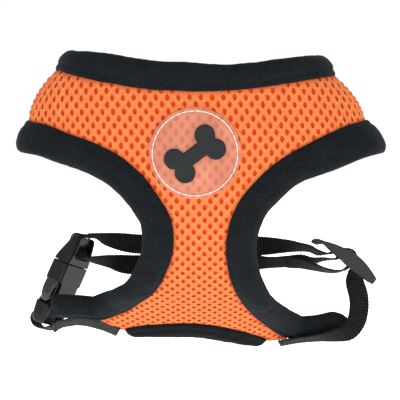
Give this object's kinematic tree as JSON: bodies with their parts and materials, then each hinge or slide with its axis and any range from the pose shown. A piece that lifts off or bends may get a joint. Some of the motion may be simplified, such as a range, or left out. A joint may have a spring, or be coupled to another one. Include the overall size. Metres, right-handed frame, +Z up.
{
  "type": "dog vest harness",
  "caption": "Soft air-mesh dog vest harness with puffy bindings, a ribbed girth strap, side-release buckle, slider, chest badge and leash ring at the back.",
  "frame": {"origin": "centre of the neck opening, level with the top of the chest panel's front edge", "axes": "+Z up as worn by a standing dog, -Y out of the chest, +X to the viewer's right when facing the chest"},
  "size_m": [0.1731, 0.1042, 0.1456],
  "materials": {
    "air_mesh": "orange knitted air mesh",
    "binding_cloth": "black napped padded binding",
    "badge_rubber": "translucent soft rubber over the orange mesh",
    "emblem_rubber": "dark raised rubber",
    "badge_thread": "white stitching",
    "webbing": "black ribbed webbing",
    "buckle_plastic": "black moulded plastic, half matte",
    "ring_metal": "nickel-plated wire"
  },
  "bodies": {
    "vest": {"chest_mesh_panel": "air_mesh", "nape_mesh_band": "air_mesh", "neck_binding": "binding_cloth", "armhole_binding_left": "binding_cloth", "armhole_binding_right": "binding_cloth", "hem_binding": "binding_cloth", "badge_disc": "badge_rubber", "badge_emblem": "emblem_rubber", "badge_stitch_ring": "badge_thread", "girth_strap": "webbing", "left_wing_tab": "webbing", "back_connector_webbing": "webbing", "leash_ring_tab": "webbing", "buckle_female": "buckle_plastic"},
    "buckle_male_half": {"buckle_male": "buckle_plastic"},
    "prong_left": {"buckle_prong_left": "buckle_plastic"},
    "prong_right": {"buckle_prong_right": "buckle_plastic"},
    "strap_slider": {"slider": "buckle_plastic"},
    "leash_ring": {"leash_d_ring": "ring_metal"}
  },
  "joints": [
    {"name": "buckle_release", "type": "slide", "parent": "vest", "child": "buckle_male_half", "axis": [0.4, 0, 0.9165], "range_m": [0, 0.018], "deforming": ["buckle_prong_left", "buckle_prong_right"]},
    {"name": "prong_squeeze_left", "type": "hinge", "parent": "buckle_male_half", "child": "prong_left", "pos_m": [-0.06712, 0.0443, -0.09511], "axis": [0.7935, -0.5004, -0.3463], "range_deg": [-10, 0], "stiffness_Nm_per_rad": 0.05},
    {"name": "prong_squeeze_right", "type": "hinge", "parent": "buckle_male_half", "child": "prong_right", "pos_m": [-0.063, 0.0521, -0.09691], "axis": [0.7935, -0.5004, -0.3463], "range_deg": [0, 10], "stiffness_Nm_per_rad": 0.05},
    {"name": "slider_adjust", "type": "slide", "parent": "vest", "child": "strap_slider", "axis": [-0.8351, 0, 0.5501], "range_m": [-0.003, 0.006], "deforming": ["girth_strap"]},
    {"name": "ring_swing", "type": "hinge", "parent": "vest", "child": "leash_ring", "pos_m": [0, 0.037, -0.041], "axis": [1, 0, 0], "range_deg": [0, 110]}
  ]
}
